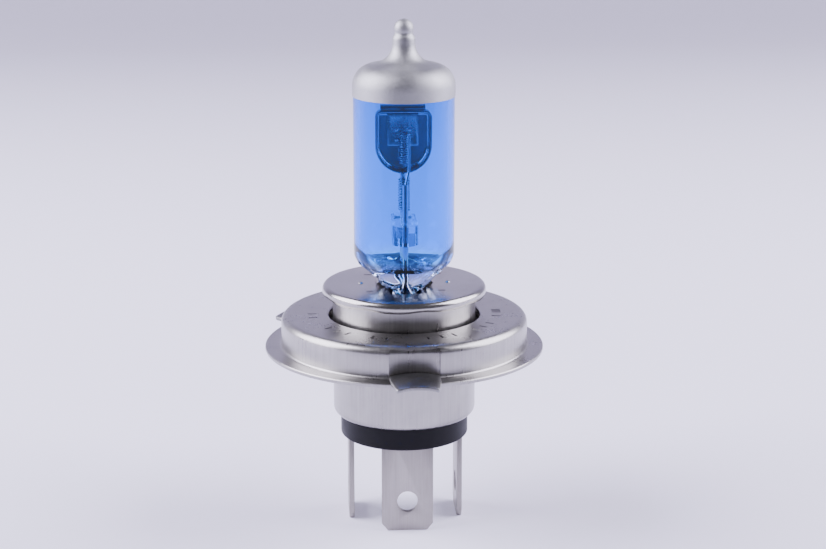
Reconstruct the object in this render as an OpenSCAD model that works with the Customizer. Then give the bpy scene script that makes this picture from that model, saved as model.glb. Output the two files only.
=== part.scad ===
// Dual-filament headlight bulb with a three-blade base.
// Z = 0 is the seating face of the flange, +Z points to the tip, and -Y is the side of the front blade.

/* [Quartz bulb] */
// Outside diameter of the tube
bulb_d = 15.4; // [13.6:0.1:17]
// Wall thickness of the tube
bulb_wall = 0.9; // [0.6:0.1:1.2]
// Height of the coating's lower edge above the seating face
coat_z = 38.7; // [37:0.1:39.8]
// Height where the dome's shoulder begins
shoulder_z = 40.3; // [40:0.1:46]
// Radius of the dome's shoulder
shoulder_r = 3.1; // [2.2:0.1:3.4]
// Height of the exhaust tip above the shoulder's start
tip_h = 9.9; // [9.6:0.1:12]
// Diameter of the ball at the end of the tip
tip_d = 2.8; // [2.2:0.1:3]
// Diameter of the tip's neck
neck_d = 3.3; // [3.1:0.1:3.6]
// Thickness of the silver coating
coat_t = 0.08; // [0.06:0.01:0.12]

/* [Press seal] */
// Width of the seal, front to back
seal_w = 12; // [11.4:0.1:12.4]
// Thickness of the seal's middle
seal_t = 3.2; // [2.8:0.1:3.6]
// Diameter of the beads along the seal's two edges
bead_d = 4.6; // [4:0.1:5]
// Height where the tube starts to close
close_z = 14.9; // [14.6:0.1:15.6]
// Height of the cavity's floor on the axis
floor_z = 12.6; // [12.4:0.1:13.2]
// Height of the seal's lower end
seal_z = -3; // [-4:0.1:-2]

/* [Lead wires and filaments] */
// Diameter of the support wires
lead_d = 0.9; // [0.7:0.05:1.1]
// Distance between neighbouring support wires
lead_pitch = 3.4; // [3:0.1:3.6]
// Diameter of the fine upper end of the low-beam wire
fine_d = 0.4; // [0.3:0.05:0.5]
// Outside diameter of the low-beam coil
low_coil_d = 1.3; // [1:0.05:1.6]
// Height of the low-beam coil's lower end
low_coil_z = 28.2; // [28:0.1:29]
// Length of the low-beam coil
low_coil_len = 4.8; // [4:0.1:5.8]
// Outside diameter of the high-beam coil
high_coil_d = 1.8; // [1.4:0.05:2.1]
// Height of the high-beam coil's lower end
high_coil_z = 21; // [20:0.1:21.2]
// Length of the high-beam coil
high_coil_len = 5.2; // [4:0.1:5.3]

/* [Beam shield] */
// Width of the shield
shield_w = 8.7; // [7.2:0.1:9.2]
// Height of the shield's top edge
shield_top_z = 36.2; // [35:0.1:37]
// Height of the shield's lowest point
shield_low_z = 26.6; // [26.5:0.1:27.3]
// Depth of the pressed dish
shield_depth = 2.1; // [1.5:0.1:2.2]
// Sheet thickness of the shield
shield_t = 0.25; // [0.2:0.05:0.3]
// Width of the cross bar above the shield
bar_w = 7; // [5:0.1:8]
// Height of the cross bar
bar_h = 0.6; // [0.4:0.05:0.9]

/* [Quartz bridge] */
// Width of the bridge from side to side
bridge_w = 3.8; // [3:0.1:4.6]
// Height of the bridge
bridge_h = 3; // [2:0.1:3.4]
// Height of the bridge's lower face
bridge_z = 16.6; // [15.6:0.1:16.9]

/* [Holder disc] */
// Diameter of the disc over its skirt
disc_d = 25.2; // [24.4:0.1:27]
// Height of the disc's top face
disc_z = 9.6; // [9.3:0.1:9.8]
// Height of the skirt
skirt_h = 1.6; // [1.4:0.05:1.8]
// Sheet thickness of the disc and the sleeve
holder_t = 0.45; // [0.35:0.05:0.5]
// Outer radius of the disc's rolled edge
disc_edge_r = 0.7; // [0.5:0.1:0.8]
// Distance from the axis to a slit, front to back
slit_y = 4.9; // [4.4:0.1:5.4]
// Distance from the axis to the middle of a slit, side to side
slit_x = 5.4; // [5:0.1:6.4]
// Distance from the axis to each pip
pip_x = 6.7; // [5:0.1:8.6]

/* [Sleeve and shell] */
// Outside diameter of the sleeve and the shell
sleeve_d = 22; // [21:0.1:22.6]
// Height of the sleeve's lower end
sleeve_low_z = -0.9; // [-1.5:0.1:-0.5]
// How far the shell's spigot reaches up into the sleeve
spigot_h = 3.6; // [2:0.1:5]
// Depth of the shell's lower edge below the seating face
shell_depth = 11; // [9:0.1:13]

/* [Focus ring] */
// Diameter of the flange
flange_d = 43; // [41:0.1:46]
// Diameter of the collar
collar_d = 38; // [34:0.1:39]
// Sheet thickness of the ring
ring_t = 0.6; // [0.5:0.05:0.8]
// Height of the collar's top face above the seating face
collar_h = 4.8; // [4.4:0.1:6.5]
// Outer radius of the collar's top edge
collar_edge_r = 1.2; // [0.9:0.1:1.6]
// Diameter of the opening in the collar's top
ring_hole_d = 23.4; // [23.2:0.1:28]
// Distance from the axis to the end of a lug
lug_reach = 24.6; // [23:0.1:30]
// Width of a lug at its end
lug_w = 6.4; // [5:0.1:8]
// Height of the lug's arch
lug_rise = 0.45; // [0.3:0.05:0.8]
// Angle between the front lug and each back lug
lug_angle = 135; // [110:1:140]
// Angle by which the ring is turned on the base when it is welded
ring_turn = 1.5; // [0:0.1:5]

/* [Base] */
// Diameter of the insulator
insulator_d = 19.8; // [19:0.1:20]
// Height of the insulator that shows below the shell
insulator_show = 3.4; // [2.5:0.1:5]
// Height of the insulator inside the shell
insulator_inside = 2.2; // [1.6:0.1:3]
// Width of a blade
blade_w = 7.9; // [6.4:0.1:8.3]
// Thickness of a blade
blade_t = 0.8; // [0.6:0.05:1]
// Length of a blade below the insulator
blade_len = 13.3; // [11:0.1:18]
// Distance from the axis to the middle of a blade
blade_y = 8.4; // [8:0.1:8.5]
// Size of the cut-off corners at a blade's end
blade_corner = 1.1; // [0.6:0.1:1.6]
// Diameter of the hole in a blade
blade_hole_d = 3.2; // [2.5:0.1:3.9]
// Height of the hole's centre above the blade's end
blade_hole_up = 4.7; // [3.4:0.1:6]

/* [Clearances] */
// Gap between parts that slide together
slide_gap = 0.02; // [0.01:0.01:0.1]
// Gap round the press seal in its clamp
seal_gap = 0.15; // [0.1:0.05:0.3]

/* [Hidden] */
$fn = 96;

// Bulb
bulb_r = bulb_d / 2;
cavity_r = bulb_r - bulb_wall;
tip_top_z = shoulder_z + tip_h;
neck_r = neck_d / 2;
tip_r = tip_d / 2;
dome_top_z = shoulder_z + shoulder_r;
flare_r = 3.1;
flare_z = dome_top_z + flare_r + 0.15;
neck_top_z = tip_top_z - 1.47 * tip_r - 0.97;

// Closing end and press seal
seal_half_w = seal_w / 2;
close_r = 3;
close_low = 6;
close_slope = 0.9;
seal_top_z = close_z - 4.4;

// Leads
lead_r = lead_d / 2;
fine_r = fine_d / 2;
tail_r = 0.12;
outer_r = 0.4;
foil_w = 2.2;
foil_t = 0.1;
foil_low_z = seal_z + 3;
foil_high_z = floor_z - 3.2;
low_y = -lead_pitch;
high_y = 0;
common_y = lead_pitch;
low_coil_y = -0.3;
fine_x = 0.6;
fine_y = low_y + 0.8;
fine_z = low_coil_z - 2.4;
low_coil_top_z = low_coil_z + low_coil_len;
high_coil_top_z = high_coil_z + high_coil_len;

// Shield
shield_back_y = common_y - lead_r;
shield_front_y = shield_back_y - shield_depth;
shield_round_r = shield_w / 2;
shield_corner_r = 1;
bar_z = shield_top_z;
bar_depth = 0.8;

// Holder
disc_r = disc_d / 2;
sleeve_r = sleeve_d / 2;
sleeve_top_z = disc_z - holder_t;
sleeve_flange_r = disc_r - holder_t - slide_gap;
sleeve_flange_low_z = sleeve_top_z - holder_t;
skirt_low_z = disc_z - skirt_h;
crimp_in_r = sleeve_r + 0.5;
clamp_t = 0.4;
clamp_x = bead_d / 2 + seal_gap;
clamp_y = seal_half_w + seal_gap;
clamp_low_z = 1.6;
clamp_high_z = sleeve_top_z;
clamp_flange = 1.6;
tab_w = 5;
tab_len = 2;
window_x = clamp_x + clamp_t + 0.3;
window_y = clamp_y + clamp_t + 0.3;
tab_window_x = window_x + 0.9;

// Shell, ring and base
spigot_r = sleeve_r - holder_t - slide_gap;
spigot_top_z = sleeve_low_z + spigot_h;
shell_low_z = -shell_depth;
insulator_r = insulator_d / 2;
curl_r = sleeve_r - insulator_r - slide_gap;
insulator_low_z = shell_low_z - insulator_show;
insulator_top_z = shell_low_z + insulator_inside;
insulator_step_z = shell_low_z + curl_r + 0.1;
collar_r = collar_d / 2;
collar_in_r = collar_r - ring_t;
flange_r = flange_d / 2;
ring_hole_r = ring_hole_d / 2;
foot_r = 0.4;
carrier_t = 0.5;
carrier_low_z = 0.9;
carrier_high_z = 3.2;
lug_z = -0.1;
lug_root_w = lug_w + 1;
recess_w = lug_root_w + 0.1;
recess_y = collar_r - 0.5;
blade_low_z = insulator_low_z - blade_len;
socket_h = 1.5;
tang_w = 4;
tang_high_z = insulator_top_z + 2.2;

// Points of an arc round (cx, cz), from angle a to angle b
function arc(cx, cz, r, a, b, n = 10) =
    [for (i = [0:n]) let (t = a + (b - a) * i / n) [cx + r * cos(t), cz + r * sin(t)]];

// The same points in the opposite order
function backwards(list) = [for (i = [len(list) - 1:-1:0]) list[i]];

// The same points in the opposite order, mirrored to negative x
function mirrored(list) = [for (p = backwards(list)) [-p[0], p[1]]];

// Outline of the dome and tip from the shoulder to the top, moved out by the distance grow
function dome_outline(grow) = concat(
    arc(bulb_r - shoulder_r, shoulder_z, shoulder_r + grow, 0, 84),
    arc(neck_r + flare_r, flare_z, flare_r - grow, 250, 180),
    arc(neck_r - 1, neck_top_z, 1 + grow, 0, 50, 5),
    arc(0, tip_top_z - tip_r, tip_r + grow, -28, 90)
);

module revolve(points) {
    rotate_extrude() polygon(points);
}

// Solid ring of rectangular section
module band(inner, outer, low, high) {
    rotate_extrude() translate([inner, low]) square([outer - inner, high - low]);
}

// Straight round rod from point a to point b
module rod(a, b, r) {
    run = b - a;
    reach = norm(run);
    translate(a) rotate([0, acos(run[2] / reach), atan2(run[1], run[0])]) cylinder(r = r, h = reach);
}

// Round wire through a list of points, with a ball in each bend
module wire(points, r) {
    for (i = [1:len(points) - 1]) rod(points[i - 1], points[i], r);
    for (i = [1:len(points) - 2]) translate(points[i]) sphere(r * 1.03);
}

// Outline of the bulb's lower end as it looks from the front: it closes to the press seal
function closing_side() = concat(
    [[seal_t / 2 - 0.2, close_z - close_low - 0.4]],
    arc(bulb_r + 0.06 - close_r, close_z, close_r, -48, 0),
    [[bulb_r + 2, close_z + 2], [bulb_r + 2, tip_top_z + 1]]
);

// Outline of the bulb's lower end as it looks from the side: it stays wide down to the seal
function closing_front() = [
    for (i = [0:10]) let (s = i / 10)
        [seal_half_w - 0.1 + (bulb_r - seal_half_w + 0.1) * (1 - cos(180 * s)) / 2,
            close_z - close_low + close_low * s]
];

// Bulb without its cavity and without the press seal
module bulb_body() {
    intersection() {
        revolve(concat([[0, close_z - close_low]], closing_front(), dome_outline(0)));
        rotate([90, 0, 0])
            linear_extrude(height = 4 * bulb_r, center = true)
                polygon(concat(closing_side(), mirrored(closing_side())));
    }
}

// Sealed space inside the bulb
module cavity() {
    floor_r = 4.6;
    roof_r = shoulder_r - bulb_wall * 0.6;
    revolve(concat(
        [[0, floor_z]],
        arc(cavity_r - floor_r, floor_z + floor_r - 1, floor_r, -50, 0),
        arc(cavity_r - roof_r, shoulder_z - 0.2, roof_r, 0, 84),
        [[0.9, dome_top_z - bulb_wall + 0.4], [0, dome_top_z + 0.9]]
    ));
}

// Flat press seal with a bead along each edge
module press_seal() {
    bead_y = (seal_w - bead_d) / 2;
    translate([0, 0, seal_z])
        linear_extrude(height = seal_top_z - seal_z) {
            square([seal_t, 2 * bead_y], center = true);
            for (side = [-1, 1]) translate([0, side * bead_y]) circle(d = bead_d);
        }
}

module foil(y) {
    translate([-foil_t / 2, y - foil_w / 2, foil_low_z])
        cube([foil_t, foil_w, foil_high_z - foil_low_z]);
}

// Room in the glass for one foil and the two wires welded to it
module lead_channel(y) {
    translate([0, y, foil_high_z]) cylinder(r = lead_r, h = floor_z + 2 - foil_high_z);
    foil(y);
    translate([0, y, seal_z - 1]) cylinder(r = outer_r, h = foil_low_z + 1 - seal_z);
}

module glass_envelope() {
    color([0.35, 0.6, 0.98, 0.4])
        difference() {
            union() {
                bulb_body();
                press_seal();
            }
            cavity();
            for (y = [low_y, high_y, common_y]) lead_channel(y);
        }
}

module dome_coating() {
    color([0.78, 0.78, 0.8])
        revolve(concat(
            [[bulb_r, coat_z], [bulb_r + coat_t, coat_z]],
            dome_outline(coat_t),
            backwards(dome_outline(0))
        ));
}

module quartz_bridge() {
    end_y = lead_pitch;
    color([0.8, 0.9, 1, 0.5])
        difference() {
            translate([0, 0, bridge_z])
                linear_extrude(height = bridge_h) {
                    square([bridge_w, 2 * end_y], center = true);
                    for (side = [-1, 1]) translate([0, side * end_y]) circle(d = bridge_w);
                }
            for (y = [low_y, high_y, common_y])
                translate([0, y, bridge_z - 1]) cylinder(r = lead_r, h = bridge_h + 2);
        }
}

// Upper coil with its tail to the shield
module low_beam_filament() {
    color([0.35, 0.37, 0.42]) {
        translate([0, low_coil_y, low_coil_z]) cylinder(d = low_coil_d, h = low_coil_len);
        rod([0, low_coil_y, low_coil_z + tail_r * 2],
            [0, shield_back_y - shield_t, low_coil_z + tail_r * 2], tail_r);
    }
}

// Lower coil with its tail to the common lead
module high_beam_filament() {
    color([0.35, 0.37, 0.42]) {
        translate([0, high_y, high_coil_z]) cylinder(d = high_coil_d, h = high_coil_len);
        rod([0, high_y, high_coil_top_z - tail_r * 2],
            [0, common_y - lead_r, high_coil_top_z - tail_r * 2], tail_r);
    }
}

// Front view of the shield, made smaller by the distance inset
module shield_outline(inset) {
    half = shield_w / 2 - inset;
    corner = shield_corner_r;
    round_z = shield_low_z + shield_round_r;
    top = shield_top_z - inset;
    translate([0, round_z]) circle(r = half);
    translate([-half, round_z]) square([2 * half, top - corner - round_z]);
    translate([corner - half, round_z]) square([2 * (half - corner), top - round_z]);
    for (side = [-1, 1]) translate([side * (half - corner), top - corner]) circle(r = corner);
}

module beam_shield() {
    color([0.5, 0.52, 0.56])
        difference() {
            translate([0, shield_back_y, 0]) rotate([90, 0, 0])
                linear_extrude(height = shield_depth) shield_outline(0);
            translate([0, shield_back_y - shield_t, 0]) rotate([90, 0, 0])
                linear_extrude(height = shield_depth) shield_outline(shield_t);
        }
}

module shield_bar() {
    color([0.5, 0.52, 0.56])
        translate([-bar_w / 2, common_y - bar_depth / 2, bar_z]) cube([bar_w, bar_depth, bar_h]);
}

// Thick post that steps down to a fine wire, which reaches the top of the upper coil
module low_beam_lead() {
    color([0.6, 0.62, 0.66]) {
        translate([0, low_y, foil_high_z]) cylinder(r = lead_r, h = fine_z - foil_high_z);
        wire([
            [0, low_y, fine_z - lead_r],
            [fine_x, fine_y, fine_z + 2],
            [fine_x, fine_y, low_coil_top_z + fine_r],
            [0, low_coil_y, low_coil_top_z + fine_r]
        ], fine_r);
    }
}

module high_beam_lead() {
    color([0.6, 0.62, 0.66])
        translate([0, high_y, foil_high_z]) cylinder(r = lead_r, h = high_coil_z - foil_high_z);
}

module common_lead() {
    color([0.6, 0.62, 0.66])
        translate([0, common_y, foil_high_z]) cylinder(r = lead_r, h = bar_z - foil_high_z);
}

module seal_foil_low() { color([0.7, 0.7, 0.72]) foil(low_y); }
module seal_foil_high() { color([0.7, 0.7, 0.72]) foil(high_y); }
module seal_foil_common() { color([0.7, 0.7, 0.72]) foil(common_y); }

// Wire from a foil's lower end to the inner face of a blade's tang, at the point (x, y)
module outer_lead(foil_y, x, y) {
    bend_z = seal_z - 1.2;
    weld_z = tang_high_z - 0.6;
    color([0.62, 0.6, 0.58])
        wire([
            [0, foil_y, foil_low_z],
            [0, foil_y, bend_z],
            [x, y, weld_z],
            [x, y, insulator_top_z + 0.5]
        ], outer_r);
}

weld_r = blade_y - blade_t / 2 - outer_r;
module outer_lead_low() { outer_lead(low_y, 0, -weld_r); }
module outer_lead_high() { outer_lead(high_y, weld_r, 0); }
module outer_lead_common() { outer_lead(common_y, -weld_r, 1); }

// Top plate with a rolled edge and a skirt that is crimped under the sleeve's flange
module holder_disc() {
    slit_len = 1.2;
    slit_w = 0.35;
    pip_r = 0.55;
    inner_edge_r = disc_edge_r - holder_t;
    color([0.72, 0.71, 0.68])
        difference() {
            union() {
                revolve(concat(
                    [[0, sleeve_top_z], [0, disc_z]],
                    arc(disc_r - disc_edge_r, disc_z - disc_edge_r, disc_edge_r, 90, 0, 6),
                    [[disc_r, skirt_low_z], [crimp_in_r, skirt_low_z],
                        [crimp_in_r, sleeve_flange_low_z - slide_gap],
                        [disc_r - holder_t, sleeve_flange_low_z - slide_gap]],
                    arc(disc_r - disc_edge_r, disc_z - disc_edge_r, inner_edge_r, 0, 90, 6)
                ));
                for (side = [-1, 1])
                    translate([side * pip_x, 0, disc_z - pip_r + 0.2]) sphere(pip_r);
            }
            translate([-window_x, -window_y, disc_z - 2]) cube([2 * window_x, 2 * window_y, 3]);
            translate([-tab_window_x, -tab_w / 2 - 0.3, disc_z - 2])
                cube([2 * tab_window_x, tab_w + 0.6, 3]);
            for (x = [-slit_x, slit_x], y = [-slit_y, slit_y])
                translate([x - slit_len / 2, y - slit_w / 2, disc_z - 2]) cube([slit_len, slit_w, 3]);
        }
}

// Collar round the press seal, with a flange under the disc and two sprung tabs
module pinch_clamp() {
    out_x = clamp_x + clamp_t;
    out_y = clamp_y + clamp_t;
    flange_z = clamp_high_z - clamp_t;
    color([0.66, 0.66, 0.66]) {
        difference() {
            union() {
                translate([-out_x, -out_y, clamp_low_z])
                    cube([2 * out_x, 2 * out_y, clamp_high_z - clamp_low_z]);
                translate([-out_x - clamp_flange, -out_y - clamp_flange, flange_z])
                    cube([2 * (out_x + clamp_flange), 2 * (out_y + clamp_flange), clamp_t]);
            }
            translate([-clamp_x, -clamp_y, clamp_low_z - 1])
                cube([2 * clamp_x, 2 * clamp_y, clamp_high_z + 2 - clamp_low_z]);
            // Room for the tabs to start from
            translate([-out_x - 0.6, -tab_w / 2 - 0.2, flange_z - 0.4])
                cube([2 * out_x + 1.2, tab_w + 0.4, 2]);
        }
        for (side = [-1, 1]) scale([side, 1, 1]) spring_tab(out_x, flange_z - 0.6);
    }
}

// One tab: it stands on the clamp's wall and leans out along the closing end of the bulb
module spring_tab(out_x, low) {
    bend_z = close_z - close_low + 0.15;
    lean = 42;
    rotate([90, 0, 0])
        linear_extrude(height = tab_w, center = true)
            polygon([
                [clamp_x + 0.02, low], [out_x, low], [out_x, bend_z - clamp_t * 0.6],
                [out_x + tab_len * cos(lean), bend_z - clamp_t * 0.6 + tab_len * sin(lean)],
                [out_x - clamp_t * 0.7 + tab_len * cos(lean), bend_z + clamp_t * 0.1 + tab_len * sin(lean)],
                [clamp_x + 0.02, bend_z]
            ]);
}

// Tube with an out-turned flange that the disc is crimped over
module holder_sleeve() {
    corner = disc_edge_r - holder_t;
    color([0.74, 0.73, 0.7])
        revolve([
            [sleeve_r - holder_t, sleeve_low_z], [sleeve_r, sleeve_low_z],
            [sleeve_r, sleeve_flange_low_z], [sleeve_flange_r, sleeve_flange_low_z],
            [sleeve_flange_r, sleeve_top_z - corner], [sleeve_flange_r - corner, sleeve_top_z],
            [sleeve_r - holder_t, sleeve_top_z]
        ]);
}

// Channel that joins the sleeve to the inside of the focus ring's wall, flat behind the front recess
module carrier_ring() {
    color([0.6, 0.6, 0.6])
        difference() {
            revolve([
                [sleeve_r, carrier_low_z], [collar_in_r, carrier_low_z],
                [collar_in_r, carrier_high_z], [collar_in_r - carrier_t, carrier_high_z],
                [collar_in_r - carrier_t, carrier_low_z + carrier_t],
                [sleeve_r + carrier_t, carrier_low_z + carrier_t],
                [sleeve_r + carrier_t, carrier_high_z], [sleeve_r, carrier_high_z]
            ]);
            rotate([0, 0, ring_turn]) translate([-recess_w / 2 - slide_gap, -collar_r - 1, 0])
                cube([recess_w + 2 * slide_gap, collar_r + 1 - recess_y + ring_t + slide_gap, collar_h]);
        }
}

// Section of the ring: flange, collar wall and top, with the sheet's bends
module ring_section() {
    polygon(concat(
        [[flange_r, -ring_t], [flange_r, 0]],
        arc(collar_r + foot_r, foot_r, foot_r, 270, 180, 4),
        arc(collar_r - collar_edge_r, collar_h - collar_edge_r, collar_edge_r, 0, 90, 8),
        [[ring_hole_r, collar_h], [ring_hole_r, collar_h - ring_t]],
        arc(collar_r - collar_edge_r, collar_h - collar_edge_r, collar_edge_r - ring_t, 90, 0, 8),
        arc(collar_r + foot_r, foot_r, foot_r + ring_t, 180, 270, 4)
    ));
}

// Arched tab that points to -Y
module lug() {
    half = lug_root_w / 2;
    arch_r = half * half / (2 * lug_rise) + lug_rise / 2;
    root = collar_r - 0.3;
    intersection() {
        translate([0, -root, lug_z + lug_rise - arch_r]) rotate([90, 0, 0])
            linear_extrude(height = lug_reach - root)
                difference() {
                    circle(r = arch_r + ring_t, $fn = 180);
                    circle(r = arch_r, $fn = 180);
                }
        translate([0, 0, -1]) linear_extrude(height = 3)
            polygon([[-half, -root + 1], [-half, -root - 2], [-lug_w / 2, -lug_reach],
                [lug_w / 2, -lug_reach], [half, -root - 2], [half, -root + 1]]);
    }
}

module focus_ring() {
    color([0.74, 0.73, 0.7]) rotate([0, 0, ring_turn]) {
        difference() {
            rotate_extrude() ring_section();
            translate([-recess_w / 2, -collar_r - 1, foot_r])
                cube([recess_w, collar_r + 1 - recess_y, collar_h - collar_edge_r]);
        }
        translate([-recess_w / 2, -recess_y, foot_r])
            cube([recess_w, ring_t, collar_h - collar_edge_r]);
        for (turn = [0, lug_angle, -lug_angle]) rotate([0, 0, turn]) lug();
    }
}

// Lower can with a spigot inside the sleeve and a lower edge rolled in to the insulator
module base_shell() {
    color([0.76, 0.75, 0.72])
        revolve(concat(
            [[spigot_r - holder_t, spigot_top_z], [spigot_r, spigot_top_z],
                [spigot_r, sleeve_low_z - slide_gap], [sleeve_r, sleeve_low_z - slide_gap]],
            arc(sleeve_r - curl_r, shell_low_z + curl_r, curl_r, 0, -90, 8),
            arc(sleeve_r - curl_r, shell_low_z + curl_r, curl_r - holder_t, -90, 0, 8),
            [[sleeve_r - holder_t, sleeve_low_z - holder_t - 0.3],
                [spigot_r - holder_t, sleeve_low_z - 0.2]]
        ));
}

// Insulator with a step under the shell's rolled edge and a stepped slot for each blade
module insulator_disc() {
    edge = 0.35;
    step_r = sleeve_r - holder_t - 2 * slide_gap;
    color([0.06, 0.06, 0.07])
        difference() {
            revolve(concat(
                [[0, insulator_low_z]],
                arc(insulator_r - edge, insulator_low_z + edge, edge, -90, 0, 6),
                [[insulator_r, insulator_step_z], [step_r, insulator_step_z],
                    [step_r, insulator_top_z], [0, insulator_top_z]]
            ));
            for (turn = [0, 90, -90]) rotate([0, 0, turn]) blade_slot();
        }
}

module blade_slot() {
    gap = 2 * slide_gap;
    translate([-(blade_w + gap) / 2, -blade_y - (blade_t + gap) / 2, insulator_low_z - 1])
        cube([blade_w + gap, blade_t + gap, socket_h + 1]);
    translate([-(tang_w + gap) / 2, -blade_y - (blade_t + gap) / 2, insulator_low_z])
        cube([tang_w + gap, blade_t + gap, insulator_show + insulator_inside + 1]);
}

// Flat blade on the -Y side, with cut corners, a round hole and a narrow tang through the insulator
module blade() {
    half = blade_w / 2;
    shoulder = insulator_low_z + socket_h;
    color([0.66, 0.64, 0.6])
        translate([0, -blade_y + blade_t / 2, 0]) rotate([90, 0, 0])
            linear_extrude(height = blade_t)
                difference() {
                    polygon([
                        [-half + blade_corner * 0.8, blade_low_z], [half - blade_corner * 0.8, blade_low_z],
                        [half, blade_low_z + blade_corner], [half, shoulder],
                        [tang_w / 2, shoulder], [tang_w / 2, tang_high_z],
                        [-tang_w / 2, tang_high_z], [-tang_w / 2, shoulder],
                        [-half, shoulder], [-half, blade_low_z + blade_corner]
                    ]);
                    translate([0, blade_low_z + blade_hole_up]) circle(d = blade_hole_d);
                }
}

module low_beam_blade() { blade(); }
module high_beam_blade() { rotate([0, 0, 90]) blade(); }
module common_blade() { rotate([0, 0, -90]) blade(); }

glass_envelope();
dome_coating();
quartz_bridge();
low_beam_filament();
high_beam_filament();
beam_shield();
shield_bar();
low_beam_lead();
high_beam_lead();
common_lead();
seal_foil_low();
seal_foil_high();
seal_foil_common();
outer_lead_low();
outer_lead_high();
outer_lead_common();
holder_disc();
pinch_clamp();
holder_sleeve();
carrier_ring();
focus_ring();
base_shell();
insulator_disc();
low_beam_blade();
high_beam_blade();
common_blade();
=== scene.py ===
"""Headlight bulb: a blue quartz tube with a silvered dome, held in a flanged metal base with three blades.

Every length in the classes is in millimetres; the meshes are made in metres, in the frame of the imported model.
"""

import logging
import math
from dataclasses import dataclass
from enum import Enum
from typing import Callable, Sequence

import bpy
from mathutils import Matrix, Vector


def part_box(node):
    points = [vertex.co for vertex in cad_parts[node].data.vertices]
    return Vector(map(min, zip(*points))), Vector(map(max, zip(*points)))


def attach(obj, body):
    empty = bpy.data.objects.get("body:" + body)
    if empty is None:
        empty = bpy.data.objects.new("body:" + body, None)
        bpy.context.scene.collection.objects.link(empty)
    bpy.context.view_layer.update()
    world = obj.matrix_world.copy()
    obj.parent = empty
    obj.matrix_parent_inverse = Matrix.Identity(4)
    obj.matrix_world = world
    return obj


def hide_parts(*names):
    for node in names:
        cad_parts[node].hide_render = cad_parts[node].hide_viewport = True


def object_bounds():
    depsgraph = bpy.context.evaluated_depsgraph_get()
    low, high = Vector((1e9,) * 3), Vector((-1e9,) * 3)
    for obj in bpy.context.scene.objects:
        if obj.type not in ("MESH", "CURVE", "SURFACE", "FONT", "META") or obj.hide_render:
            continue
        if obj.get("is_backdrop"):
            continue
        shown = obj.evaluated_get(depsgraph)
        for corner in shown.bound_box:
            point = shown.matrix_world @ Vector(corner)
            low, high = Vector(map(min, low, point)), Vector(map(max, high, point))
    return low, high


MM = 0.001
WELD = 0.000002
BODY = "root"
LATHE_STEPS = 128
SLIDE_GAP = 0.02
UPRIGHT_STRETCH = 0.03
NOISE_MIDDLE = (0.3, 0.7)

Colour = tuple[float, float, float]
Point2 = tuple[float, float]
Piece = bpy.types.Object
Socket = bpy.types.NodeSocket

log = logging.getLogger("headlight_bulb")
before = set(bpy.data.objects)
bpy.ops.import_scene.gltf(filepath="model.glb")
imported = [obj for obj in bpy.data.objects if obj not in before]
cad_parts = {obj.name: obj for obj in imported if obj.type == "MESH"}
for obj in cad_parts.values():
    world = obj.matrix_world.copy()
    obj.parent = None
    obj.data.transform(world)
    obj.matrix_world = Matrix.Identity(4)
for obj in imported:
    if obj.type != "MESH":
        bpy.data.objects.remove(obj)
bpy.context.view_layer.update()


# ----- workshop tools


def enter(mode: str) -> None:
    """Switches the active piece to OBJECT or EDIT mode."""
    bpy.ops.object.mode_set(mode=mode)


def select_everything() -> None:
    """Selects the whole mesh, in edit mode."""
    bpy.ops.mesh.select_all(action="SELECT")


def clear_selection() -> None:
    """Leaves nothing selected."""
    if bpy.context.object and bpy.context.object.mode != "OBJECT":
        enter("OBJECT")
    bpy.ops.object.select_all(action="DESELECT")


def take(piece: Piece) -> None:
    """Makes a piece the only one selected, and the active one."""
    clear_selection()
    piece.select_set(True)
    bpy.context.view_layer.objects.active = piece


def settle() -> None:
    """Puts the active object's place, turn and size into its mesh."""
    bpy.ops.object.transform_apply(location=True, rotation=True, scale=True)


def pull(step: Vector) -> None:
    """Extrudes what is selected in edit mode, by a step in metres."""
    bpy.ops.mesh.extrude_region_move(TRANSFORM_OT_translate={"value": step})


def arc(cx: float, cz: float, radius: float, start: float, end: float, steps: int = 10) -> list[Point2]:
    """Points of an arc.

    Args:
        cx: Centre, first coordinate.
        cz: Centre, second coordinate.
        radius: Radius of the arc.
        start: First angle in degrees.
        end: Last angle in degrees.
        steps: Number of straight runs.

    Returns:
        The points from the first angle to the last.
    """
    turns = [math.radians(start + (end - start) * i / steps) for i in range(steps + 1)]
    return [(cx + radius * math.cos(t), cz + radius * math.sin(t)) for t in turns]


def draw_chain(name: str, points: Sequence[Vector]) -> Piece:
    """Draws a chain of edges through points, and leaves it in edit mode with all of it selected.

    Args:
        name: Name of the new piece.
        points: Points in metres.

    Returns:
        The new piece.
    """
    clear_selection()
    bpy.ops.mesh.primitive_plane_add(size=MM, location=points[0])
    piece = bpy.context.object
    piece.name = name
    bpy.ops.object.transform_apply(location=True, rotation=False, scale=False)
    enter("EDIT")
    bpy.ops.mesh.select_mode(type="VERT")
    select_everything()
    bpy.ops.mesh.merge(type="CENTER")
    for here, there in zip(points, points[1:]):
        pull(there - here)
    select_everything()
    return piece


def tidy_shell(inside: bool = False) -> None:
    """Merges doubles, turns the faces outwards and leaves edit mode.

    Args:
        inside: True for a wall that faces into a hollow.
    """
    select_everything()
    bpy.ops.mesh.remove_doubles(threshold=WELD)
    bpy.ops.mesh.normals_make_consistent(inside=inside)
    enter("OBJECT")


def turn_on_lathe(name: str, section: Sequence[Point2], inside: bool = False) -> Piece:
    """Turns a section round the lamp's axis.

    Args:
        name: Name of the new piece.
        section: Radius and height of each point, in millimetres.
        inside: True for a wall that faces into a hollow.

    Returns:
        The turned piece, in object mode.
    """
    piece = draw_chain(name, [Vector((r, 0, z)) * MM for r, z in section])
    bpy.ops.mesh.spin(steps=LATHE_STEPS, angle=math.tau, center=(0, 0, 0), axis=(0, 0, 1))
    tidy_shell(inside)
    return piece


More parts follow.
